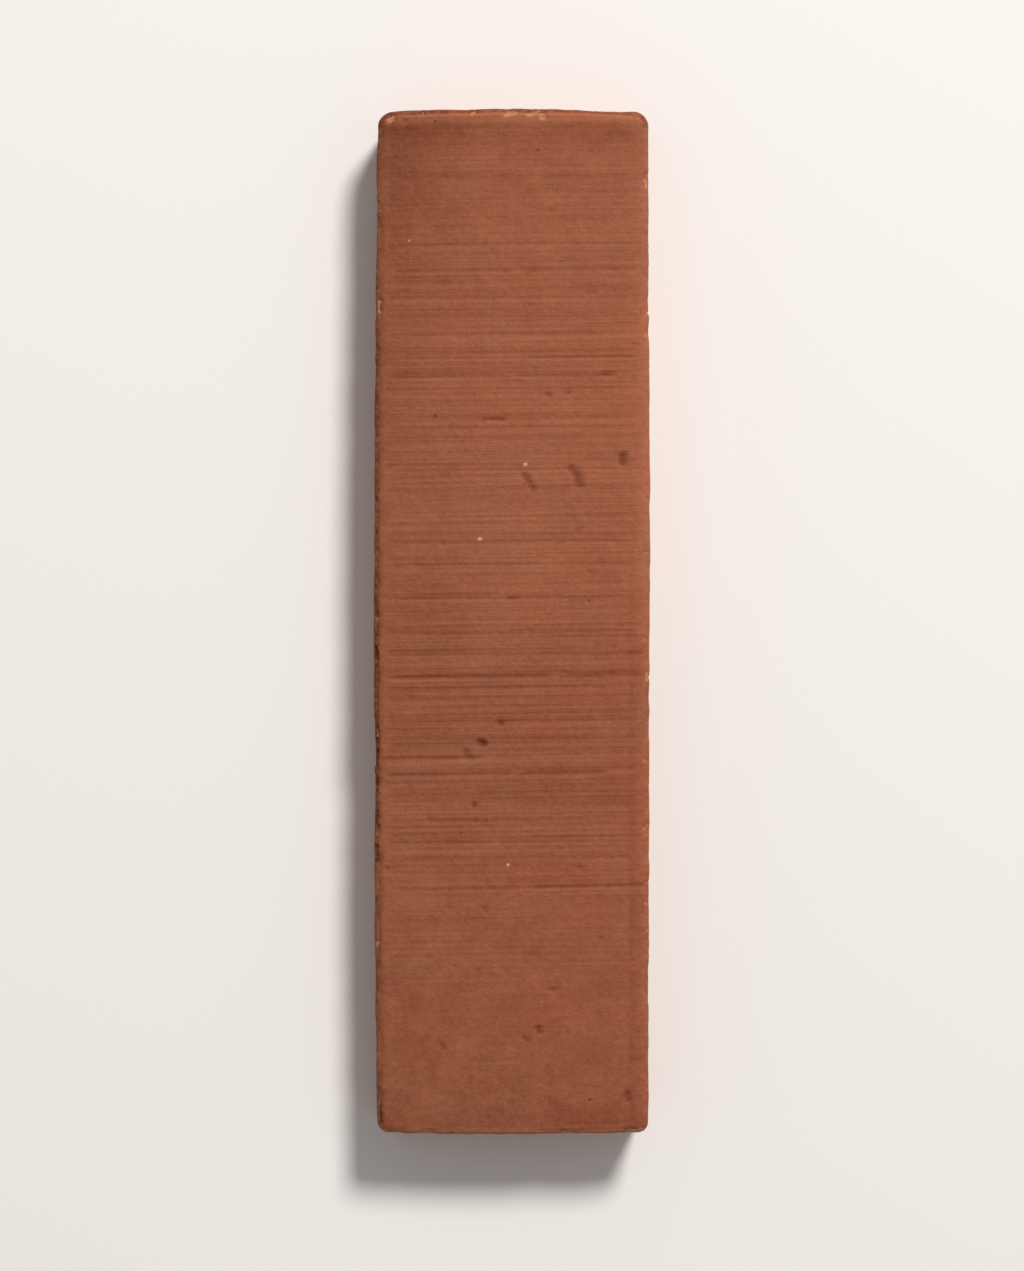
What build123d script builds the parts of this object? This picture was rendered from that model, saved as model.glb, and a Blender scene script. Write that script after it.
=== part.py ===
"""A hand-struck terracotta tile, moulded and fired as one piece.

The tile lies on its back with its fair face up. Its length runs along Y and its width
along X, and the origin is the middle of the flat back. Sizes are in millimetres.
"""

import os
from math import asin, degrees

from build123d import *

# Overall size, measured over the swell of the sides and ends
length = 240.0
width = 65.0
thickness = 18.0

# Outline at the widest level: each side swells a little between its corners
head_bow = 0.9  # the end at +Y
foot_bow = 0.4  # the end at -Y
left_bow = 0.9  # the long side at -X
right_bow = 0.4  # the long side at +X
head_corner_radius = 3.6
foot_corner_radius = 2.8

# Section: walls that lean in towards the back, a crowned face and softened edges
back_inset = 1.2  # from the widest outline to the outline of the back
crown_across = 0.5  # drop from the middle of the face to its long sides
crown_along = 0.4  # drop from the middle of the face to its ends
arris_radius = 2.0
back_edge_radius = 0.8


def tile_outline(plane, inset):
    """The bowed rectangle with rounded corners, drawn that far inside the widest outline."""
    left, right = inset - width / 2, width / 2 - inset
    foot, head = inset - length / 2, length / 2 - inset
    head_left = (left + left_bow, head - head_bow)
    head_right = (right - right_bow, head - head_bow)
    foot_left = (left + left_bow, foot + foot_bow)
    foot_right = (right - right_bow, foot + foot_bow)
    with BuildSketch(plane) as outline:
        with BuildLine():
            ThreePointArc(foot_left, (0, foot), foot_right)
            ThreePointArc(foot_right, (right, 0), head_right)
            ThreePointArc(head_right, (0, head), head_left)
            ThreePointArc(head_left, (left, 0), foot_left)
        make_face()
        fillet(outline.vertices().group_by(Axis.Y)[-1], radius=head_corner_radius)
        fillet(outline.vertices().group_by(Axis.Y)[0], radius=foot_corner_radius)
    return outline.sketch


def arc_radius(span, drop):
    """Radius of the arc that falls by drop from its middle to the ends of span."""
    return (span**2 / 4 + drop**2) / (2 * drop)


# A block twice as wide and as long as the tile, whose top is crowned both ways: one arc
# across the tile, turned about a far axis under it so that it sweeps a second arc along it
across_radius = arc_radius(width, crown_across)
along_radius = arc_radius(length, crown_along)
across_angle = degrees(asin(width / across_radius))
along_angle = degrees(asin(length / along_radius))
turning_centre = (0, 0, thickness - along_radius)
upright = Plane(turning_centre, x_dir=(1, 0, 0), z_dir=(0, -1, 0))
first_section = upright.rotated((-along_angle, 0, 0))

with BuildPart() as crowned_block:
    with BuildSketch(first_section) as section:
        with BuildLine():
            crown = CenterArc(
                (0, along_radius - across_radius), across_radius, 90 - across_angle, 2 * across_angle
            )
            below_back = along_radius - 2 * thickness
            Polyline(
                crown @ 1, ((crown @ 1).X, below_back), ((crown @ 0).X, below_back), crown @ 0
            )
        make_face()
    revolve(axis=Axis(turning_centre, (1, 0, 0)), revolution_arc=2 * along_angle)

# The walls are widest where the rounding of the face begins. They are drawn on up to the
# level of the crown with the same lean, so that the crown and the rounding can trim them
widest_level = thickness - crown_across - arris_radius
top_inset = -back_inset * (thickness - widest_level) / widest_level

with BuildPart() as tile:
    loft(
        [tile_outline(Plane.XY, back_inset), tile_outline(Plane.XY.offset(thickness), top_inset)]
    )
    add(crowned_block.part, mode=Mode.INTERSECT)
    fillet(tile.faces().sort_by(Axis.Z)[-1].edges(), radius=arris_radius)
    fillet(tile.faces().sort_by(Axis.Z)[0].edges(), radius=back_edge_radius)
tile.part.label = "tile"

os.makedirs("parts", exist_ok=True)
export_step(tile.part, "parts/tile.step")
print("tile", tile.part.bounding_box().size, "volume", round(tile.part.volume), "mm3")
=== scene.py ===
# %% [markdown]
# # A hand-struck terracotta tile
# The object is one piece of fired clay: a slender slab with a slightly crowned face, soft
# edges and walls that lean in towards a flat back. All that makes it look handmade is
# fine relief and a fired skin, so this lesson shapes a fine lattice by a rule, scores the
# marks of making into it and then paints it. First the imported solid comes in. It gives
# every size that the finished mesh has to keep to.

import bpy
import numpy as np
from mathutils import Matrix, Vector


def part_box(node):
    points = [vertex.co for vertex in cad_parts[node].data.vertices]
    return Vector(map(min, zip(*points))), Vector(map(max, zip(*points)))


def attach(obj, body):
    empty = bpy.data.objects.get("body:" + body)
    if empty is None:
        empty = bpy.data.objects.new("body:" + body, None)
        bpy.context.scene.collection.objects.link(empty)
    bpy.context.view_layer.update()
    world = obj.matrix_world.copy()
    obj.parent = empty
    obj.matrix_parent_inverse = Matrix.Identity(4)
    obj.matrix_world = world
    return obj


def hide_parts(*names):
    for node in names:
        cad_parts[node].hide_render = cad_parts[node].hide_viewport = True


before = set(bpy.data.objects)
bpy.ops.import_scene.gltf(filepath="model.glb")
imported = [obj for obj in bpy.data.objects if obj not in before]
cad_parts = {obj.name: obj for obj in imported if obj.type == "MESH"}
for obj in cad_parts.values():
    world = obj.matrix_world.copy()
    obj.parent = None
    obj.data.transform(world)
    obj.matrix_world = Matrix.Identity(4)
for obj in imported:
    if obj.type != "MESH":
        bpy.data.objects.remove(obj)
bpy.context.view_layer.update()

mm = 0.001
low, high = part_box("tile")
half_width = (high.x - low.x) / 2
half_length = (high.y - low.y) / 2
thickness = high.z - low.z
print(f"solid: {2 * half_width / mm:.1f} x {2 * half_length / mm:.1f} x {thickness / mm:.1f} mm")

# %% [markdown]
# ## Formulas as nodes
# Both the shape and the finish are formulas of where a point lies, and Blender writes
# formulas as nodes. Placing each Math node by hand makes a long script that is hard to
# read. So a small class stands for a node's output: adding or multiplying two of them
# adds the Math node that does it. The same class serves geometry and material trees.

# %% A field that grows its own nodes
class Field:
    """What comes out of a node. Sums with it add Math nodes to the same tree."""

    def __init__(self, socket):
        self.socket = socket
        self.tree = socket.id_data

    def __add__(self, other):
        return formula("ADD", self, other)

    def __sub__(self, other):
        return formula("SUBTRACT", self, other)

    def __rsub__(self, other):
        return formula("SUBTRACT", other, self)

    def __mul__(self, other):
        return formula("MULTIPLY", self, other)

    def __truediv__(self, other):
        return formula("DIVIDE", self, other)

    __radd__ = __add__
    __rmul__ = __mul__

# %% Nodes from fields and plain values
def connect(value, socket):
    """Links a field to a socket, or sets a plain value on it."""
    if isinstance(value, Field):
        value.tree.links.new(value.socket, socket)
    else:
        socket.default_value = value


def add_node(tree, kind, inputs=None, **options):
    """Adds a node, sets its options, then links or sets its inputs by name or number."""
    node = tree.nodes.new(kind)
    for name, option in options.items():
        setattr(node, name, option)
    for name, value in (inputs or {}).items():
        connect(value, node.inputs[name])
    return node


def get(tree, kind, inputs=None, **options):
    """The first output of a new node."""
    return Field(add_node(tree, kind, inputs, **options).outputs[0])


def tree_of(values):
    """The tree of the first field among some values."""
    return next(value.tree for value in values if isinstance(value, Field))


def formula(operation, *values):
    """One Math node."""
    return get(tree_of(values), "ShaderNodeMath", dict(enumerate(values)), operation=operation)

# %% Formulas of numbers that come back often
def size_of(value):
    return formula("ABSOLUTE", value)


def larger(one, other):
    return formula("MAXIMUM", one, other)


def above(value, floor):
    """How far a value is over a floor, and nothing under it."""
    return larger(value - floor, 0.0)


def length_of(one_leg, other_leg):
    """The long side of a right triangle with these legs."""
    return formula("SQRT", one_leg * one_leg + other_leg * other_leg)


def between(start, end, share):
    """What lies that share of the way from start to end."""
    return start + (end - start) * share


def step(value, start, end):
    """0 at start and 1 at end, smooth between and level beyond. Start may be the higher."""
    inputs = {0: value, 1: start, 2: end}
    return get(value.tree, "ShaderNodeMapRange", inputs, interpolation_type="SMOOTHSTEP")


def zone(value, start, end):
    """A step whose start and end are in millimetres."""
    return step(value, start * mm, end * mm)

# %% Formulas of places
def place(x, y, z):
    """A vector from three numbers, at least one of them a field."""
    return get(tree_of((x, y, z)), "ShaderNodeCombineXYZ", {0: x, 1: y, 2: z})


def parts_of(vector):
    """The x, y and z of a vector."""
    node = add_node(vector.tree, "ShaderNodeSeparateXYZ", {0: vector})
    return [Field(socket) for socket in node.outputs]


def noise(vector, size, detail=2.0):
    """Soft blotches from 0 to 1, about as large as size."""
    inputs = {"Vector": vector, "Scale": 1 / size, "Detail": detail}
    return get(vector.tree, "ShaderNodeTexNoise", inputs)

# %% [markdown]
# ## The clay blank
# A mesh can only show a groove that is wider than its cells, and a piece has a budget of
# 200,000 triangles. The face is what people look at, so it gets fine cells, longer across
# the tile than along it, because the drag marks run across. The back and the lower
# walls get cells three times as wide, joined by one row where three fine edges meet a
# coarse one. The blank is still a plain box of the solid's size.

# %% Lay out the lattice
merged_cells = 3  # fine cells to a coarse one, each way
face_cells = (99, 741)  # across and along
back_cells = tuple(count // merged_cells for count in face_cells)
fine_levels = np.array([0.45, 0.9, 1.4, 2.0]) * mm  # below the face
coarse_levels = np.append(np.linspace(3.2, 15.8, 10), [17.1, 17.55, 18.0])
coarse_levels *= thickness / coarse_levels[-1]


def all_places(cells):
    """Every lattice place of a grid, as its column and row."""
    return [(column, row) for column in range(cells[0] + 1) for row in range(cells[1] + 1)]


def border_places(cells):
    """The lattice places round the edge of a grid, anticlockwise from its first corner."""
    columns, rows = cells
    foot = [(column, 0) for column in range(columns)]
    right = [(columns, row) for row in range(rows)]
    head = [(column, rows) for column in range(columns, 0, -1)]
    left = [(0, row) for row in range(rows, 0, -1)]
    return foot + right + head + left


def border_sides(cells):
    """The wall that each edge of that border is on, in the same order."""
    columns, rows = cells
    return ["foot"] * columns + ["right"] * rows + ["head"] * columns + ["left"] * rows


print("cells of the face:", face_cells, "and of the back:", back_cells)

# %% Collect points and faces
class Blank:
    """The points and faces of the box, with the side of the box that each face is on."""

    def __init__(self):
        self.points = []
        self.faces = []
        self.sides = []

    def add_points(self, cells, places, height):
        """Adds a lattice's places at one height and returns their numbers by place."""
        numbers = {}
        for column, row in places:
            x = low.x + 2 * half_width * column / cells[0]
            y = low.y + 2 * half_length * row / cells[1]
            numbers[column, row] = len(self.points)
            self.points.append((x, y, height))
        return numbers

    def add_face(self, corners, side):
        self.faces.append(corners)
        self.sides.append(side)

    def add_grid(self, cells, numbers, side, turn):
        """Fills a lattice with quads. A turned grid faces down."""
        around = ((0, 0), (1, 0), (1, 1), (0, 1))
        for column in range(cells[0]):
            for row in range(cells[1]):
                corners = [numbers[column + right, row + up] for right, up in around]
                self.add_face(corners[::-1] if turn else corners, side)

# %% Build the rows of the walls
def add_wall_row(blank, cells, upper, lower):
    """Joins two rings of the same lattice with quads."""
    ring = border_places(cells)
    for here, there, side in zip(ring, ring[1:] + ring[:1], border_sides(cells)):
        blank.add_face([upper[here], lower[here], lower[there], upper[there]], side)


def add_joining_row(blank, upper, lower):
    """Joins the fine ring to the coarse one: two triangles and a quad for each coarse edge."""
    fine = border_places(face_cells)
    fine.append(fine[0])
    coarse = border_places(back_cells)
    coarse.append(coarse[0])
    for number, side in enumerate(border_sides(back_cells)):
        first = number * merged_cells
        top = [upper[cell] for cell in fine[first : first + merged_cells + 1]]
        near, far = lower[coarse[number]], lower[coarse[number + 1]]
        blank.add_face([top[0], near, top[1]], side)
        blank.add_face([top[1], near, far, top[2]], side)
        blank.add_face([top[2], far, top[3]], side)

# %% Close the box
def make_blank():
    """The box, from the face down the walls to the back."""
    blank = Blank()
    upper = blank.add_points(face_cells, all_places(face_cells), high.z)
    blank.add_grid(face_cells, upper, "face", turn=False)
    for level in fine_levels:
        lower = blank.add_points(face_cells, border_places(face_cells), high.z - level)
        add_wall_row(blank, face_cells, upper, lower)
        upper = lower
    for number, level in enumerate(coarse_levels):
        last = number == len(coarse_levels) - 1
        places = all_places(back_cells) if last else border_places(back_cells)
        lower = blank.add_points(back_cells, places, high.z - level)
        if number == 0:
            add_joining_row(blank, upper, lower)
        else:
            add_wall_row(blank, back_cells, upper, lower)
        upper = lower
    blank.add_grid(back_cells, upper, "back", turn=True)
    return blank


blank = make_blank()
blank_mesh = bpy.data.meshes.new("terracotta_tile")
blank_mesh.from_pydata(blank.points, [], blank.faces)
triangles = sum(len(face) - 2 for face in blank.faces)
print(f"blank: {len(blank.points)} points, {triangles} triangles")

# %% [markdown]
# ## A map for textures
# Some programs only read pictures wrapped on a model, and wrapping needs a flat map. An
# automatic unwrap would tear this mesh apart at every pit. The blank is still a box here,
# so each of its six sides is laid flat as it is, side by side on one sheet, and the map
# follows the points when they move.

# %% Find room for the six sides on one sheet
gap = 2 * mm
sheet_height = 2 * half_length + 2 * gap
side_places = {}
cursor = gap
half_across = {"face": half_width, "back": half_width, "left": thickness / 2, "right": thickness / 2}
for side, reach in half_across.items():
    side_places[side] = (cursor + reach, sheet_height / 2)
    cursor += 2 * reach + gap
for side, turn in (("foot", -1), ("head", 1)):
    side_places[side] = (cursor + thickness / 2, sheet_height / 2 + turn * (half_width + gap))
sheet_width = cursor + thickness + gap
print(f"texture sheet: {sheet_width / mm:.0f} x {sheet_height / mm:.0f} mm,", ", ".join(side_places))

# %% Lay the sides on the sheet
side_axes = {"face": (0, 1), "back": (0, 1)}  # which of x, y and z run across and up the sheet
side_axes.update(left=(2, 1), right=(2, 1), foot=(2, 0), head=(2, 0))
mirrored_sides = ("back", "left", "head")  # else they would be seen from inside

points = np.array(blank.points)
middle = np.array((low + high) / 2)
places_on_sheet = []
for face, side in zip(blank.faces, blank.sides):
    laid_flat = (points[face] - middle)[:, side_axes[side]]
    if side in mirrored_sides:
        laid_flat = laid_flat * (-1, 1)
    places_on_sheet.append((laid_flat + side_places[side]) / (sheet_width, sheet_height))
texture_map = blank_mesh.uv_layers.new(name="OFBake")
texture_map.data.foreach_set("uv", np.concatenate(places_on_sheet).ravel())
print("faces on the sheet:", len(places_on_sheet))

# %% [markdown]
# ## Pressing the blank into the mould
# A hand mould gives the tile its form: sides that swell a little between the corners,
# corners rounded in plan, edges rounded in section, walls that lean so that the tile
# comes out, and a face that is a touch higher in the middle. One could model that with
# bevels, but bevels would spoil the even lattice. Each of these is a rule on where a point
# goes, so a Geometry Nodes tree moves the points and leaves the lattice whole.

# %% The sizes of the form
form_sizes = {
    "Half Width": half_width,
    "Half Length": half_length,
    "Thickness": thickness,
    "Head Bow": 0.9 * mm,
    "Foot Bow": 0.4 * mm,
    "Left Bow": 0.9 * mm,
    "Right Bow": 0.4 * mm,
    "Head Corner": 3.6 * mm,
    "Foot Corner": 2.8 * mm,
    "Back Inset": 1.2 * mm,
    "Crown Across": 0.5 * mm,
    "Crown Along": 0.4 * mm,
    "Arris": 2.0 * mm,
    "Back Edge": 0.8 * mm,
}
print("sizes of the form:", ", ".join(form_sizes))

# %% Begin, end and use a tree
def new_tree(name, sizes):
    """A Geometry Nodes tree with a geometry coming in and out, and a named input per size."""
    tree = bpy.data.node_groups.new(name, "GeometryNodeTree")
    for way in ("INPUT", "OUTPUT"):
        tree.interface.new_socket("Geometry", in_out=way, socket_type="NodeSocketGeometry")
    for size in sizes:
        tree.interface.new_socket(size, in_out="INPUT", socket_type="NodeSocketFloat")
    entry = add_node(tree, "NodeGroupInput")
    return tree, {socket.name: Field(socket) for socket in entry.outputs if socket.name}


def finish_tree(geometry, material):
    """Shades the mesh smooth and ends its tree in Realize Instances and Set Material."""
    tree = geometry.tree
    for kind in ("GeometryNodeSetShadeSmooth", "GeometryNodeRealizeInstances"):
        geometry = get(tree, kind, {0: geometry})
    coated = get(tree, "GeometryNodeSetMaterial", {0: geometry, "Material": material})
    add_node(tree, "NodeGroupOutput", {0: coated})


def add_tree(piece, tree, values):
    """Adds the tree to a piece as a modifier, with its inputs set by identifier."""
    modifier = piece.modifiers.new(tree.name, "NODES")
    modifier.node_group = tree
    for item in tree.interface.items_tree:
        if item.in_out == "INPUT" and item.name in values:
            modifier[item.identifier] = values[item.name]

# %% Round the edges in section
def rounded(one_leg, other_leg):
    """Pulls a point of a square edge onto a quarter circle that has the legs' directions."""
    no_length = 1e-9
    share = larger(one_leg, other_leg) / larger(length_of(one_leg, other_leg), no_length)
    return one_leg * share, other_leg * share


def soften_edge(room_across, room_along, depth, radius):
    """How far an edge's points go in, at the sides and the ends, and how far they sink."""
    side_leg = above(radius, room_across)
    end_leg = above(radius, room_along)
    depth_leg = above(radius, depth)
    side_shift = side_leg - rounded(side_leg, depth_leg)[0]
    end_shift = end_leg - rounded(end_leg, depth_leg)[0]
    sink = depth_leg - rounded(larger(side_leg, end_leg), depth_leg)[1]
    return side_shift, end_shift, sink


def round_edges(given, x, y, z):
    """How far out and up a point of the box lies once the edges of face and back are round."""
    room_across = given["Half Width"] - size_of(x)
    room_along = given["Half Length"] - size_of(y)
    face_edge = soften_edge(room_across, room_along, given["Thickness"] - z, given["Arris"])
    back_edge = soften_edge(room_across, room_along, z, given["Back Edge"])
    across = size_of(x) - face_edge[0] - back_edge[0]
    along = size_of(y) - face_edge[1] - back_edge[1]
    return across, along, z - face_edge[2] + back_edge[2]

# %% Round the corners, bow the sides and crown the face
def round_corners(given, across, along, head):
    """Pulls the outline's corners in, the head's more than the foot's."""
    radius = between(given["Foot Corner"], given["Head Corner"], head)
    corner_across = above(across, given["Half Width"] - radius)
    corner_along = above(along, given["Half Length"] - radius)
    round_across, round_along = rounded(corner_across, corner_along)
    return across - corner_across + round_across, along - corner_along + round_along


def bow_and_crown(given, across, along, height, right, head):
    """Draws the sides in towards the corners and the back, and lowers the face outwards."""
    side_bow = between(given["Left Bow"], given["Right Bow"], right)
    end_bow = between(given["Foot Bow"], given["Head Bow"], head)
    share_across = across / given["Half Width"]
    share_along = along / given["Half Length"]
    widest = given["Thickness"] - given["Crown Across"] - given["Arris"]
    lean = given["Back Inset"] * above(1.0, height / widest)
    across = across - share_across * (side_bow * share_along * share_along + lean)
    along = along - share_along * (end_bow * share_across * share_across + lean)
    drop_across = given["Crown Across"] * share_across * share_across
    drop_along = given["Crown Along"] * share_along * share_along
    height = height - (drop_across + drop_along) * height / given["Thickness"]
    return across, along, height

# %% Press the blank
def press_tree(material):
    """The tree that moves the points of the box to the form of the mould."""
    tree, given = new_tree("pressed_form", form_sizes)
    x, y, z = parts_of(get(tree, "GeometryNodeInputPosition"))
    right = formula("GREATER_THAN", x, 0.0)
    head = formula("GREATER_THAN", y, 0.0)
    across, along, height = round_edges(given, x, y, z)
    across, along = round_corners(given, across, along, head)
    across, along, height = bow_and_crown(given, across, along, height, right, head)
    target = place(across * formula("SIGN", x), along * formula("SIGN", y), height)
    moved = {"Geometry": given["Geometry"], "Position": target}
    finish_tree(get(tree, "GeometryNodeSetPosition", moved), material)
    return tree


def new_object(name, data):
    """Adds an object that shows some data to the scene."""
    made = bpy.data.objects.new(name, data)
    bpy.context.scene.collection.objects.link(made)
    return made


tile = new_object("terracotta_tile", blank_mesh)
terracotta = bpy.data.materials.new("terracotta")
pressed_form = press_tree(terracotta)
add_tree(tile, pressed_form, form_sizes)
print("pressed form:", len(form_sizes), "sizes,", len(pressed_form.nodes), "nodes")

# %% [markdown]
# ## Drag lines that a person can point at
# While the clay was soft, a straight edge was drawn across the face to level it, and grit under the
# edge left drag lines. Most of them can be scattered, but the strongest ones give this tile its
# character, so they are placed one by one. Each is a stroke with a reach to either side and a depth.
# A line that changes on its way is two strokes. Sizes and places are in millimetres from the middle
# of the tile, across and then along.

# %% Place the drag lines
drag_lines = (  # left end, right end, reach, depth
    ((-31, 103.0), (30, 103.6), 0.70, 0.10),
    ((-27, 87.6), (32, 88.2), 0.70, 0.17),
    ((-29, 81.6), (2, 81.9), 0.75, 0.27),
    ((-1, 81.9), (31, 82.2), 0.75, 0.19),
    ((-30, 66.4), (32, 67.0), 0.70, 0.13),
    ((-28, 61.2), (4, 61.5), 0.70, 0.12),
    ((2, 61.5), (31, 61.8), 0.70, 0.28),
    ((-31, 56.8), (2, 57.1), 0.90, 0.21),
    ((-1, 57.1), (25, 57.4), 0.90, 0.33),
    ((-24, 47.2), (28, 47.6), 0.70, 0.14),
    ((-30, 34.8), (14, 35.3), 0.70, 0.13),
    ((-31, 18.1), (32, 18.8), 0.75, 0.20),
    ((-27, 13.0), (15, 13.35), 0.65, 0.13),
    ((-31, 5.2), (31, 5.9), 0.80, 0.25),
    ((-27, -2.9), (32, -2.3), 0.70, 0.17),
    ((-31, -8.1), (6, -7.7), 0.75, 0.21),
    ((2, -7.7), (33, -7.35), 0.75, 0.27),
    ((-31, -13.2), (12, -12.7), 0.90, 0.46),
    ((9, -12.8), (32, -12.5), 0.85, 0.28),
    ((-31, -18.9), (30, -18.3), 0.70, 0.14),
    ((-30, -23.3), (24, -22.9), 0.70, 0.09),
    ((-32, -32.1), (-6, -31.8), 0.75, 0.27),
    ((-31, -35.8), (3, -35.4), 0.85, 0.33),
    ((0, -35.5), (23, -35.2), 0.90, 0.43),
    ((-24, -46.5), (22, -46.2), 0.75, 0.17),
    ((-29, -55.5), (30, -54.9), 0.70, 0.17),
    ((-29, -62.7), (4, -62.3), 0.70, 0.23),
    ((3, -62.1), (33, -61.4), 0.80, 0.30),
    ((-10, -102.6), (2, -102.3), 0.70, 0.14),
    ((11, -117.3), (27, -117.0), 0.70, 0.12),
)
print("drag lines:", len(drag_lines), "strokes")

# %% [markdown]
# ## Pits, chips and bites
# Where grit or straw came out of the clay it left pits, and the edge has lost chips and small bites.
# The finish darkens the pits and the bites as painted shade. They could be sculpted, but a short
# stroke says the same in one line: its two ends, its reach and its depth. The noise that is added
# later makes them ragged.

# %% Place the pits
pits = (  # one end, other end, reach, depth
    ((-6.2, 47.1), (-2.0, 47.0), 0.70, 0.36),
    ((21.6, 57.6), (23.2, 57.7), 1.10, 0.24),
    ((8.3, 52.9), (8.8, 52.5), 0.70, 0.42),
    ((12.7, 53.1), (13.3, 53.3), 0.60, 0.30),
    ((25.7, 38.5), (25.8, 37.2), 1.50, 0.56),
    ((2.9, 33.9), (4.9, 31.0), 1.15, 0.42),
    ((13.5, 35.6), (14.6, 35.0), 1.30, 0.38),
    ((14.9, 34.2), (15.8, 31.9), 1.55, 0.45),
    ((17.2, 25.2), (17.5, 24.8), 0.70, 0.25),
    ((-1.0, 5.2), (1.4, 5.3), 0.55, 0.28),
    ((17.2, -13.0), (19.6, -12.9), 0.80, 0.11),
    ((-2.7, -23.6), (-2.5, -24.2), 0.85, 0.52),
    ((-7.4, -28.3), (-6.8, -28.5), 1.35, 0.70),
    ((-10.7, -30.4), (-10.5, -31.4), 1.10, 0.40),
    ((-8.9, -42.7), (-8.7, -43.1), 0.80, 0.48),
    ((-8.6, -46.4), (-8.5, -46.8), 0.70, 0.36),
    ((15.6, -57.4), (16.1, -57.5), 0.75, 0.30),
    ((-6.5, -66.9), (-6.3, -67.6), 0.95, 0.28),
    ((8.6, -85.9), (9.9, -85.7), 0.80, 0.32),
    ((5.9, -94.8), (6.2, -95.6), 1.05, 0.55),
    ((2.8, -97.2), (3.3, -97.7), 0.85, 0.36),
    ((-16.4, -98.8), (-16.1, -99.7), 1.00, 0.34),
    ((-9.8, -106.5), (-9.7, -107.7), 0.80, 0.26),
    ((8.3, -111.0), (8.9, -112.6), 0.70, 0.22),
    ((26.8, -110.3), (27.1, -111.3), 1.30, 0.46),
)
print("pits:", len(pits))

# %% Place the chips and the bites
edge_chips = (  # one end, other end, reach, depth
    ((-1.2, 118.2), (0.3, 118.6), 1.1, 0.50),
    ((4.4, 118.3), (5.0, 118.7), 0.9, 0.50),
    ((6.5, 118.1), (7.2, 117.6), 1.0, 0.50),
    ((-9.4, 118.9), (-8.9, 118.9), 0.8, 0.36),
    ((-20.5, 118.6), (-20.0, 118.6), 0.7, 0.30),
    ((-28.8, 116.9), (-27.8, 117.6), 1.1, 0.36),
    ((-31.4, 74.6), (-31.5, 72.8), 1.0, 0.36),
    ((-31.8, -25.4), (-31.8, -26.4), 0.8, 0.36),
    ((31.8, -12.0), (31.8, -13.6), 0.9, 0.36),
    ((31.6, 104.0), (31.7, 101.8), 0.9, 0.36),
    ((12.0, -119.3), (14.0, -119.3), 0.9, 0.36),
    ((27.0, -119.1), (28.6, -119.0), 0.9, 0.36),
)
edge_bites = (  # one end, other end, reach, depth
    ((-31.9, 28.9), (-31.9, 28.3), 0.8, 0.40),
    ((-31.9, 21.0), (-31.9, 20.5), 0.7, 0.36),
    ((-31.9, -6.4), (-32.0, -8.6), 1.1, 0.60),
    ((-31.9, -27.6), (-32.0, -33.0), 1.0, 0.60),
    ((-32.0, -36.4), (-32.0, -38.8), 0.8, 0.50),
    ((-32.0, -44.6), (-32.0, -46.0), 0.8, 0.50),
    ((-32.0, -52.5), (-32.0, -56.0), 0.8, 0.50),
    ((-32.0, -68.0), (-32.0, -69.6), 0.7, 0.45),
    ((-32.0, -78.5), (-32.0, -80.6), 0.7, 0.45),
    ((-31.7, -112.4), (-31.2, -117.0), 1.0, 0.55),
)
print("chips:", len(edge_chips), "and bites:", len(edge_bites))

# %% Turn the strokes into wires
bites_below_face = 1.4 * mm


def stroke_wires(name, strokes, height=0.0):
    """An object with one edge per stroke, at one height, that carries its reach and depth."""
    ends = [(x * mm, y * mm, height) for start, end, _, _ in strokes for x, y in (start, end)]
    edges = [(2 * number, 2 * number + 1) for number in range(len(strokes))]
    mesh = bpy.data.meshes.new(name)
    mesh.from_pydata(ends, edges, [])
    for label, column in (("reach", 2), ("depth", 3)):
        values = [stroke[column] * mm for stroke in strokes for _ in range(2)]
        mesh.attributes.new(label, "FLOAT", "POINT").data.foreach_set("value", values)
    return new_object(name, mesh)


wires = {
    "drag lines": stroke_wires("drag_lines", drag_lines),
    "pits": stroke_wires("pits", pits),
    "chips": stroke_wires("edge_chips", edge_chips),
    "bites": stroke_wires("edge_bites", edge_bites, high.z - bites_below_face),
}
print("wires:", {name: len(wire.data.edges) for name, wire in wires.items()})

# %% [markdown]
# ## Scoring the relief
# The second tree pushes points in along their normals and never out, so the tile stays
# inside its solid. A displacement texture could do that too, but it can't ask how far a
# point is from the nearest stroke. This tree asks that and turns the answer into a groove.
# What each mark is worth is a named input.

# %% Begin the tree of the relief
line_slant = 0.012  # how far the drag lines rise for each step across
mark_sizes = {
    "Line Slant": line_slant,
    "Broad Lines": 0.17 * mm,
    "Fine Lines": 0.43 * mm,
    "Tears": 0.20 * mm,
    "Track": 0.14 * mm,
    "Pit Density": 2000.0,
    "Pit Depth": 0.24 * mm,
    "Swell": 0.30 * mm,
    "Edge Fall": 0.25 * mm,
    "Grain": 0.05 * mm,
    "Wall Wander": 1.0 * mm,
    "Wall Skin": 1.0 * mm,
    "Chip": 0.40 * mm,
    "Nibble": 0.40 * mm,
    "Edge Wear": 1.4 * mm,
}
struck_face, given = new_tree("struck_face", mark_sizes)
position = get(struck_face, "GeometryNodeInputPosition")
normal = parts_of(get(struck_face, "GeometryNodeInputNormal"))
facing = normal[2]  # 1 on a level face, 0 on a wall, -1 on the back
fair = step(facing, 0.85, 0.985)


def plan_of(position):
    """The place right below a position, at height zero."""
    x, y, _ = parts_of(position)
    return place(x, y, 0.0)


flat = plan_of(position)
print("relief:", len(mark_sizes), "named sizes")

# %% Read the nearest stroke
def read_size(tree, label):
    return get(tree, "GeometryNodeInputNamedAttribute", {"Name": label}, data_type="FLOAT")


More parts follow.
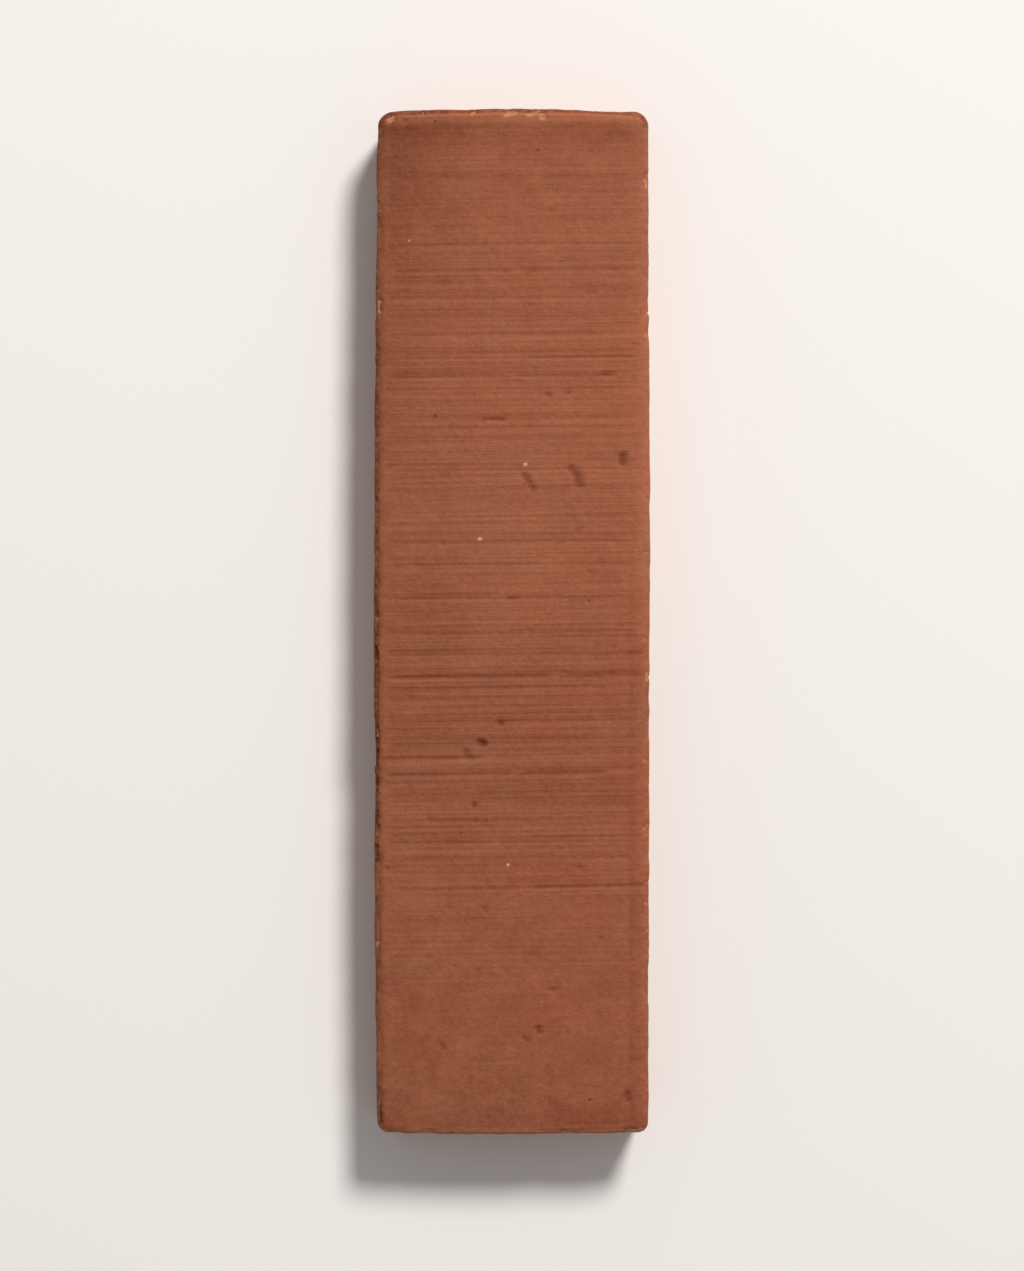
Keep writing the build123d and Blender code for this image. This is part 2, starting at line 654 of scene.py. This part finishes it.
def fade_ends(lines, share):
    """Lets each stroke's depth run out over that share of its length at either end."""
    along = get(lines.tree, "GeometryNodeSplineParameter")
    ends = step(along, 0.0, share) * step(along, 1.0, 1.0 - share)
    faded = read_size(lines.tree, "depth") * ends
    stored = {"Geometry": lines, "Name": "depth", "Value": faded}
    return get(lines.tree, "GeometryNodeStoreNamedAttribute", stored)


def nearest_stroke(wire, spot, wobble=0.0, fade=None):
    """How far the nearest stroke is, and that stroke's reach and depth there."""
    tree = spot.tree
    info = add_node(tree, "GeometryNodeObjectInfo", {"Object": wire})
    lines = get(tree, "GeometryNodeMeshToCurve", {0: Field(info.outputs["Geometry"])})
    spaced = {"Curve": lines, "Length": 0.6 * mm}
    lines = get(tree, "GeometryNodeResampleCurve", spaced, mode="LENGTH")
    if fade:
        lines = fade_ends(lines, fade)
    sway = (noise(get(tree, "GeometryNodeInputPosition"), 9 * mm) - 0.5) * wobble
    moved = {"Geometry": lines, "Offset": place(0.0, sway, 0.0)}
    lines = get(tree, "GeometryNodeSetPosition", moved)
    strokes = get(tree, "GeometryNodeCurveToMesh", {"Curve": lines})
    asked = {"Geometry": strokes, "Sample Position": spot}
    near = add_node(tree, "GeometryNodeProximity", asked, target_element="EDGES")
    index = get(tree, "GeometryNodeSampleNearest", asked, domain="POINT")
    found = [Field(near.outputs["Distance"])]
    for label in ("reach", "depth"):
        read = {"Geometry": strokes, "Value": read_size(tree, label), "Index": index}
        found.append(get(tree, "GeometryNodeSampleIndex", read))
    return found

# %% [markdown]
# ## Drag lines across the face
# The straight edge bore harder on the middle of the tile than on its ends and its left side, and its
# heel left a shallow track along the right. The lines that were placed one by one come from their
# wires. The finer ones come from noise: squeezing one direction of its place draws its blotches out
# into lines, and a third number picks another layer of it. Where the clay was drier, the edge tore
# small pores instead.

# %% Score the placed lines and the track
track_middle = 27.8 * mm


def stroke_relief(flat):
    """How deep the placed drag lines are. Each bears unevenly along its way."""
    distance, reach, depth = nearest_stroke(wires["drag lines"], flat, wobble=0.3 * mm, fade=0.12)
    x, y, _ = parts_of(flat)
    uneven = step(noise(place(x, y * 3.0, 0.0), 14 * mm), 0.25, 0.65)
    return step(distance, reach, 0.0) * between(0.50, 0.75, uneven) * depth


def track_relief(flat, given):
    """How deep the heel's track is. It gets fainter towards the head."""
    x, y, _ = parts_of(flat)
    groove = zone(size_of(x - track_middle), 1.8, 0)
    return groove * between(0.3, 1.0, zone(y, 50, -20)) * given["Track"]


strokes = stroke_relief(flat)
track = track_relief(flat, given)
print("placed lines and track:", len(struck_face.nodes), "nodes so far")

# %% Score the scattered lines
def side_margin(x):
    """How well the straight edge reached the sides: not the left one, a little the right."""
    return zone(x, -31, -27.5) * between(0.35, 1.0, zone(x, 31, 27))


def line_strength(x, y):
    """How hard the straight edge bore on the clay."""
    lengthwise = between(0.06, 1.0, zone(y, -125, -30) * zone(y, 170, 60))
    pressure = step(noise(place(x, y * 1.6, 0.04), 26 * mm), 0.25, 0.60)
    by_height = 1.04 - 0.28 * zone(y, 0, 20) + 0.10 * zone(y, 62, 80)
    return lengthwise * between(0.4, 1.0, pressure) * side_margin(x) * by_height


def line_relief(flat, given):
    """How deep the scattered lines and the torn pores are."""
    x, y, _ = parts_of(flat)
    level = y - x * given["Line Slant"]
    strength = line_strength(x, y)
    broad = above(noise(place(x * 0.012, level, 0.01), 3.0 * mm), 0.3)
    fine = above(noise(place(x * 0.015, level, 0.02), 1.15 * mm, 1.0), 0.42)
    torn = step(noise(place(x * 0.22, level, 0.03), 1.6 * mm), 0.69, 0.80)
    lines = (broad * given["Broad Lines"] + fine * given["Fine Lines"]) * strength
    return lines, torn * strength * given["Tears"]


lines, tears = line_relief(flat, given)
print("scattered lines:", len(struck_face.nodes), "nodes so far")

# %% [markdown]
# ## Pits in the face
# A pit is where a bit of grit or straw came out, so it has a ragged rim and steep walls.
# Besides the placed ones there is a sparse scatter of small ones, from points that are
# strewn over a flat sheet with a fixed seed. Noise shifts the distance to each, and that
# makes the rim ragged.

# %% Sink the pits
pit_seed = 7
small_reach, large_reach = 0.4 * mm, 1.0 * mm


def strewn_pit(flat, density):
    """How far the nearest pit of a random scatter is, and that pit's reach."""
    tree = flat.tree
    sheet = {"Size X": 2 * half_width, "Size Y": 2 * half_length}
    grid = get(tree, "GeometryNodeMeshGrid", sheet)
    spread = {"Mesh": grid, "Density": density, "Seed": pit_seed}
    dots = get(tree, "GeometryNodeDistributePointsOnFaces", spread)
    asked = {"Geometry": dots, "Sample Position": flat}
    near = add_node(tree, "GeometryNodeProximity", asked, target_element="POINTS")
    index = get(tree, "GeometryNodeSampleNearest", asked, domain="POINT")
    range_of_reach = {2: small_reach, 3: large_reach, "Seed": pit_seed}
    random = add_node(tree, "FunctionNodeRandomValue", range_of_reach)
    read = {"Geometry": dots, "Value": Field(random.outputs[1]), "Index": index}
    return Field(near.outputs["Distance"]), get(tree, "GeometryNodeSampleIndex", read)


def pit_relief(flat, given):
    """How deep the pits are, with ragged rims and steep walls."""
    ragged = (noise(flat, 1.2 * mm) - 0.5) * (1.0 * mm)
    distance, reach, depth = nearest_stroke(wires["pits"], flat)
    placed = step(distance + ragged, reach, reach * 0.2) * depth
    distance, reach = strewn_pit(flat, given["Pit Density"])
    strewn = step(distance + ragged * 0.5, reach, reach * 0.25) * given["Pit Depth"]
    return larger(placed, strewn)


holes = pit_relief(flat, given) * fair
print("pits:", len(struck_face.nodes), "nodes so far")

# %% [markdown]
# ## Chips, bites and wear along the edge
# The edge of the face is what knocks against things. Chips show paler clay and bites are coloured
# dark as painted shade in the nick, so the two are kept apart. Chips are measured in plan, so that
# they take the whole rounding of the edge, and bites in space. The left side is also nibbled below
# its middle, and all of the edge is rubbed a little. How steeply the surface faces up tells where
# the rounding is.

# %% Wear the edge
def edge_relief(position, facing, given):
    """How deep the edge is chipped all round, bitten along its left side, and rubbed."""
    arris = step(facing, 0.05, 0.40)
    x, y, z = parts_of(position)
    ragged = (noise(position, 1.2 * mm, 4.0) - 0.5) * (2.6 * mm)

    distance, reach, depth = nearest_stroke(wires["chips"], plan_of(position))
    placed = step(distance + ragged, reach, reach * 0.3) * depth
    small = step(noise(position, 2.6 * mm, 4.0), 0.62, 0.72) * step(facing, 0.99, 0.93)
    chips = larger(placed, small * given["Chip"]) * arris

    distance, reach, depth = nearest_stroke(wires["bites"], position)
    bitten = step(distance + ragged * 0.6, reach, reach * 0.3) * depth
    left_side = step(x, 2.5 * mm - half_width, 1.0 * mm - half_width) * zone(y, 30, -20)
    along_edge = place(x, y * 0.3, z)
    nibbled = step(noise(along_edge, 1.8 * mm, 3.0), 0.46, 0.66) * left_side * given["Nibble"]
    bites = larger(bitten, nibbled) * arris

    rubbed = above(noise(position, 5.5 * mm, 3.0), 0.42) * step(facing, 0.995, 0.94)
    return chips, bites, rubbed * arris * given["Edge Wear"]


chips, bites, wear = edge_relief(position, facing, given)
print("edge:", len(struck_face.nodes), "nodes so far")

# %% [markdown]
# ## The skin of the pressed clay
# Pressed clay is never quite level. The face swells and falls a little towards its sides,
# the walls wander and are creased where the clay slid along the mould, and the back is
# pocked by the sand it lay on. Each is noise of its own size, kept to its own side by the
# way the surface faces.

# %% Roughen the skin
def skin_relief(position, facing, given):
    """How deep the clay's own unevenness is, on the face, the walls and the back."""
    x, y, z = parts_of(position)
    wall = step(facing, 0.5, 0.1) * step(facing, -0.95, -0.6)
    back = step(facing, -0.6, -0.95)
    wander = above(noise(position, 24 * mm, 1.0), 0.35) * given["Wall Wander"]
    creased = above(noise(place(x * 0.4, y * 0.4, z), 4.5 * mm), 0.35)
    pocked = above(noise(position, 6 * mm), 0.5)
    skin = (creased * wall + pocked * back) * given["Wall Skin"]
    swell = above(noise(position, 42 * mm, 1.0), 0.35) * given["Swell"]
    grain = noise(position, 0.9 * mm) * given["Grain"]
    fall = step(size_of(x), half_width - 8 * mm, half_width) * given["Edge Fall"]
    level = swell + grain + fall * step(facing, 0.4, 0.9)
    return wander * wall + skin + level * (1.0 - back)


skin = skin_relief(position, facing, given)
print("skin:", len(struck_face.nodes), "nodes so far")

# %% [markdown]
# ## Strike the tile
# All the depths are added up and each point moves in by the sum. Each kind of mark is also
# stored as an attribute from 0 to 1, so that the finish can colour it. Then both trees are
# worked out once and the result becomes a plain mesh, because other programs can't read
# modifiers.

# %% Store the marks and move the points
depth = (strokes + track + lines + tears) * fair + holes + chips + bites + wear + skin
stored_marks = {
    "drag": zone(strokes + tears + track * 0.8, 0, 0.27) * fair,
    "line": lines / (0.14 * mm) * fair,
    # how deep the pits and bites are, which the finish turns into painted shade
    "pit": zone(holes + bites * 0.8, 0.05, 0.6),
    "chip": zone(chips, 0.08, 0.5),
    "fair": fair,
}
geometry = given["Geometry"]
for name, value in stored_marks.items():
    stored = {"Geometry": geometry, "Name": name, "Value": value}
    geometry = get(struck_face, "GeometryNodeStoreNamedAttribute", stored)
inward = place(*[part * depth * -1.0 for part in normal])
moved = {"Geometry": geometry, "Offset": inward}
finish_tree(get(struck_face, "GeometryNodeSetPosition", moved), terracotta)
print("struck face:", len(struck_face.nodes), "nodes, marks:", ", ".join(stored_marks))

# %% Work out the mesh
add_tree(tile, struck_face, mark_sizes)
depsgraph = bpy.context.evaluated_depsgraph_get()
tile.data = bpy.data.meshes.new_from_object(tile.evaluated_get(depsgraph))
tile.modifiers.clear()
for wire in wires.values():
    bpy.data.objects.remove(wire)
print("tile mesh:", len(tile.data.vertices), "points;", [a.name for a in tile.data.attributes])

# %% [markdown]
# ## The fired skin
# Unglazed terracotta is one clay, so its colour moves along one line, from a dull brown to
# a paler orange, each a little ruddier in some places and more ochre in others. A picture
# of clay could be wrapped on, but it would stop at its own pixels. Here all of the finish
# is worked out from where a point lies and from the stored marks.

# %% The clay's colours
def srgb(red, green, blue):
    """A colour from its screen values, as linear light."""
    shares = [value / 255 for value in (red, green, blue)]
    linear = [s / 12.92 if s < 0.04045 else ((s + 0.055) / 1.055) ** 2.4 for s in shares]
    return (*linear, 1.0)


dull_ruddy = srgb(114, 52, 28)
dull_ochre = srgb(112, 55, 30)
bright_ruddy = srgb(181, 107, 75)
bright_ochre = srgb(179, 113, 81)
# a dark clay colour: the iron specks, and painted shade in the pits and bites
dark_clay_and_pit_shade = srgb(90, 38, 22)
chipped_clay = srgb(202, 142, 106)
sanded_clay = srgb(170, 112, 82)
pale_grog = srgb(230, 168, 138)
print("burnt clay in linear light:", [round(part, 3) for part in dark_clay_and_pit_shade])

# %% Begin the material
def shader_of(material):
    """Turns a material's nodes on and returns its shader."""
    material.use_nodes = True
    return material.node_tree.nodes["Principled BSDF"]


def read_mark(tree, name):
    return Field(add_node(tree, "ShaderNodeAttribute", attribute_name=name).outputs["Fac"])


clay_shader = shader_of(terracotta)
clay_tree = terracotta.node_tree
spot = Field(add_node(clay_tree, "ShaderNodeTexCoord").outputs["Object"])
x, y, z = parts_of(spot)
marks = {name: read_mark(clay_tree, name) for name in stored_marks}
print("marks to colour:", ", ".join(marks))

# %% [markdown]
# ## Tone of the clay
# The tone says how far a point is from dull to bright. It drifts over the tile: the upper half is
# lighter, the head and the foot are duller, and there is a dark patch near the head's left corner.
# The right side is made lighter as a painted highlight, where the face rolls off towards the lamp.
# Painting that by hand on a picture would tie it to the picture's size, so each zone is a place with
# a soft border and a change.

# %% Zones of tone and a painted highlight
across = x / half_width
upper_half = zone(y, -14, 8)
# painted highlight: the right side is made lighter where the face rolls off towards the lamp
right_highlight = zone(x, 25.5, 32)
dark_patch = zone(length_of((x + 24 * mm) * 1.2, (y - 110 * mm) * 0.7), 20, 0)


def add_changes(tone, changes):
    """The tone with each change added where it applies."""
    for where, change in changes:
        tone = tone + where * change
    return tone


middle_tone = 0.475
tone_zones_and_highlight = (  # where, and how much brighter
    (upper_half, 0.085),
    (upper_half * zone(size_of(x), 6, 18), -0.04),
    (across * (upper_half - 0.15), 0.07),
    # painted highlight along the right side, stronger in the upper half
    (right_highlight, 0.05),
    (right_highlight * upper_half, 0.06),
    (zone(x, -18, -28) * zone(y, 25, 50), -0.06),
    (zone(x, -27.5, -29.5) * zone(y, 70, 95), 0.07),
    (dark_patch, -0.14),
    (zone(y, 50, 100), -0.06),
    (zone(size_of(y - 115 * mm), 5.5, 0), -0.14),
    (zone(y, -60, -117), -0.05),
    (zone(y, -108, -119), -0.09),
)
tone = add_changes(middle_tone, tone_zones_and_highlight)
print("zones of the fire:", len(tone_zones_and_highlight))

# %% [markdown]
# ## Rims of the face
# Along its left side the edge is darker, most of all along the middle: painted shade on the side
# away from the lamp, with some dirt. At the foot the rim is painted lighter, a painted highlight
# where the lamp leaves it in shade. At the head a painted highlight runs just inside the edge, and
# right on the head's rounding it is painted darker, as painted shade. An edge mask worked out from
# the mesh would treat all four sides alike, so each rim is a zone of its own. The rims stop a little
# below the face, and the walls keep their own colour.

# %% Tone of the rims
near_face = zone(z, 13, 16)
belly = zone(y, -65, -40) * zone(y, 95, 60)
# painted shade, with some dirt: the left edge is made darker, as it faces away from the lamp
left_edge_shade = zone(x, -30.6, -31.3) * near_face
# painted light on the rims of the head and the foot, made uneven by noise
uneven_rim_light = (0.5 + noise(spot, 8 * mm)) * near_face
# painted highlight on the foot's rim, which faces away from the lamp
foot_rim_highlight = zone(y, -117.6, -118.8) * uneven_rim_light
# the head's rim: lighter on the face as a painted highlight, darker on the rounding as painted shade
head_rim_light_and_shade = zone(y + across * across * form_sizes["Head Bow"], 115.2, 118.2) * uneven_rim_light
rims = (  # where, and how much brighter
    # painted shade along the left edge, strongest along the middle and less in the upper half
    (left_edge_shade, -0.08),
    (left_edge_shade * belly, -0.42),
    (left_edge_shade * belly * upper_half, 0.16),
    # painted highlight at the foot, then painted shade and painted highlight at the head
    (foot_rim_highlight, 0.45),
    (head_rim_light_and_shade, -0.31),
    (head_rim_light_and_shade * marks["fair"], 0.62),
)
tone = add_changes(tone, rims)
print("rims:", len(rims), "changes of tone")

# %% [markdown]
# ## Grain and lines
# Fired clay is mottled, with a finer grain and a speckle in it. Where the straight edge
# struck the face it smeared the coarser of these and left streaks, and the drag lines hold
# darker clay. The streaks slant as the scored lines do, so the two look like one thing.

# %% Tone of grain and lines
drift = noise(spot, 55 * mm) - 0.5
mottle = noise(spot, 5 * mm, 3.0) - 0.5
grain = noise(spot, 1.3 * mm, 3.0) - 0.5
speckle = noise(spot, 0.6 * mm) - 0.5
streaks = noise(place(x * 0.015, y - x * line_slant, 0.0), 0.75 * mm) - 0.5
lengthwise = between(0.1, 1.0, zone(y, -125, -30)) * zone(y, 190, 40)
struck = lengthwise * side_margin(x) * marks["fair"]
usual_line = 0.4
grain_and_lines = (  # where, and how much brighter
    (drift, 0.12),
    (mottle, 0.48),
    (mottle * struck, -0.26),
    (grain, 0.44),
    (grain * struck, -0.08),
    (speckle, 0.24),
    (streaks * struck, 0.40),
    ((marks["line"] - usual_line) * struck, -0.20),
    (marks["drag"], -0.26),
)
tone = add_changes(tone, grain_and_lines)
print("grain and lines:", len(grain_and_lines), "changes of tone")

# %% [markdown]
# ## Colour of the clay
# The tone picks the clay's colour, and coats go over it where something else shows: sand on the
# walls, paler clay in the chips, specks of iron and bits of grog, which is crushed fired clay. The
# pits and the bites get a dark coat too, darker the deeper they are: painted shade in the hollows.
# Each coat is a colour and a share. The specks come from Voronoi cells, of which only a few are
# chosen. The three largest bits of grog are placed.

# %% Specks and bits
def blend(start, end, share):
    """A colour that share of the way from one colour to another."""
    node = add_node(share.tree, "ShaderNodeMix", {0: share, 6: start, 7: end}, data_type="RGBA")
    return Field(node.outputs[2])


def specks(vector, spacing, share):
    """Sparse ragged dots of several sizes, in that share of the cells of that spacing."""
    cells = add_node(vector.tree, "ShaderNodeTexVoronoi", {"Vector": vector, "Scale": 1 / spacing})
    chance, size, _ = parts_of(Field(cells.outputs["Color"]))
    chosen = formula("LESS_THAN", chance, share)
    reach = between(0.06, 0.22, size)
    ragged = (noise(vector, spacing * 0.15) - 0.5) * 0.16
    return step(Field(cells.outputs["Distance"]) + ragged, reach, reach * 0.35) * chosen


def grog_bit(middle_x, middle_y, reach):
    """A ragged bit of grog on the face, wider than it is long. Sizes are in millimetres."""
    width_to_length = 1.342
    away = length_of(x - middle_x * mm, (y - middle_y * mm) * width_to_length)
    return zone(away + speckle * (0.8 * mm), reach, reach * 0.3) * marks["fair"]

# %% Lay on the coats
hue = 0.5 + (noise(place(x, y, z + 0.2), 14 * mm, 3.0) - 0.5) * 1.8 - across * 0.20
dull_clay = blend(dull_ruddy, dull_ochre, hue)
bright_clay = blend(bright_ruddy, bright_ochre, hue)
sand = step(noise(spot, 1.2 * mm, 3.0), 0.42, 0.72) * (1.0 - marks["fair"])
crisp_chips = step(marks["chip"] + grain * 0.6 + speckle * 0.8, 0.25, 0.60)
grog_bits = ((3.1, 36.7, 0.82), (-7.5, 19.2, 0.80), (-0.9, -56.7, 0.54))  # x, y, reach
coats = [  # colour, and how much of it
    (sanded_clay, sand * 0.4),
    (chipped_clay, crisp_chips * 0.6),
    # painted shade: the pits and bites darken the deeper they are
    (dark_clay_and_pit_shade, marks["pit"] * 0.6),
    (dark_clay_and_pit_shade, specks(spot, 3.0 * mm, 0.03) * 0.6),
    (pale_grog, specks(place(x, y, z + 0.5), 4.0 * mm, 0.014) * 0.5),
]
coats += [(pale_grog, grog_bit(*bit) * 0.8) for bit in grog_bits]
colour = blend(dull_clay, bright_clay, tone)
for coat, share in coats:
    colour = blend(colour, coat, share)
connect(colour, clay_shader.inputs["Base Color"])
print("coats:", len(coats))

# %% [markdown]
# ## Roughness and the finest grain
# Fired clay without a glaze is dull all over, a little duller in its pits. Its grain is
# finer than the mesh, so that last bit of relief is a bump in the material. The grooves
# and pits themselves are real, and show on the mesh without it.

# %% Roughness and bump
roughness = 0.80 + (noise(spot, 8 * mm) - 0.5) * 0.16 + marks["pit"] * 0.1
connect(roughness, clay_shader.inputs["Roughness"])
clay_shader.inputs["Specular IOR Level"].default_value = 0.22
fine_grain = grain * 0.9 + speckle * 0.6 + noise(spot, 0.3 * mm) * 0.3 + streaks * struck
bump = get(clay_tree, "ShaderNodeBump", {"Height": fine_grain, "Distance": 0.16 * mm})
connect(bump, clay_shader.inputs["Normal"])
print("terracotta:", len(clay_tree.nodes), "nodes")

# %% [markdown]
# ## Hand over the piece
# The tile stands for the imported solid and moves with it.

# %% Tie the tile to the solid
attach(tile, "root")
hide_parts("tile")
print("handed over:", tile.name)

# %% [markdown]
# ## The floor
# The tile lies on a pale floor. A curved backdrop would suit a view from the side. The
# camera looks straight down here, so a plain large square is enough.

# %% Lay the floor
floor_reach = 3.0
floor_turns = ((-1, -1), (1, -1), (1, 1), (-1, 1))
floor_corners = [(right * floor_reach, up * floor_reach, 0.0) for right, up in floor_turns]
floor_mesh = bpy.data.meshes.new("floor")
floor_mesh.from_pydata(floor_corners, [], [(0, 1, 2, 3)])
floor = new_object("floor", floor_mesh)
paper = bpy.data.materials.new("pale_paper")
paper_shader = shader_of(paper)
paper_shader.inputs["Base Color"].default_value = srgb(248, 244, 240)
paper_shader.inputs["Roughness"].default_value = 0.9
paper_shader.inputs["Specular IOR Level"].default_value = 0.1
floor_mesh.materials.append(paper)
print("floor:", 2 * floor_reach, "m each way")

# %% [markdown]
# ## The light
# A soft lamp beyond the head, a little to the right, rakes over the face and makes the
# drag lines show. A lamp right above would wash them out. The sky fills the rest, and
# together they light the face so that a colour renders about as it is written.

# %% Hang the lamp and fill the sky
world = bpy.data.worlds.new("sky")
world.use_nodes = True
sky = world.node_tree.nodes["Background"]
sky.inputs["Color"].default_value = (1.0, 0.995, 0.985, 1.0)
sky.inputs["Strength"].default_value = 0.30
bpy.context.scene.world = world

lamp_distance = 3.0
lamp_direction = Vector((0.36, 0.70, 0.74)).normalized()
lamp_data = bpy.data.lights.new("soft_lamp", "AREA")
lamp_data.shape = "DISK"
lamp_data.size = 0.8
lamp_data.energy = 85.0
lamp_data.color = (1.0, 0.985, 0.965)
lamp = new_object("soft_lamp", lamp_data)
lamp.location = lamp_direction * lamp_distance
lamp.rotation_euler = lamp_direction.to_track_quat("Z", "Y").to_euler()
print("lamp at", [round(part, 2) for part in lamp.location], "m")

# %% [markdown]
# ## The camera
# The camera looks straight down. A long lens from far off keeps the walls out of sight and
# the sides parallel, and its distance follows from how tall the tile is in the picture.

# %% Set up the camera
picture_height = 1271
tile_height_in_picture = 1030
tile_rise_in_picture = 14
scale = 2 * half_length / tile_height_in_picture
camera_data = bpy.data.cameras.new("camera")
camera_data.sensor_fit = "VERTICAL"
camera_data.sensor_height = 36.0
camera_data.lens = 135.0
view_height = picture_height * scale
camera_distance = view_height * camera_data.lens / camera_data.sensor_height
camera = new_object("camera", camera_data)
camera.location = (0.0, -tile_rise_in_picture * scale, high.z + camera_distance)
bpy.context.scene.camera = camera
bpy.context.scene.view_settings.view_transform = "Standard"
print(f"camera: {camera_distance:.2f} m above the face, {view_height / mm:.0f} mm of view")
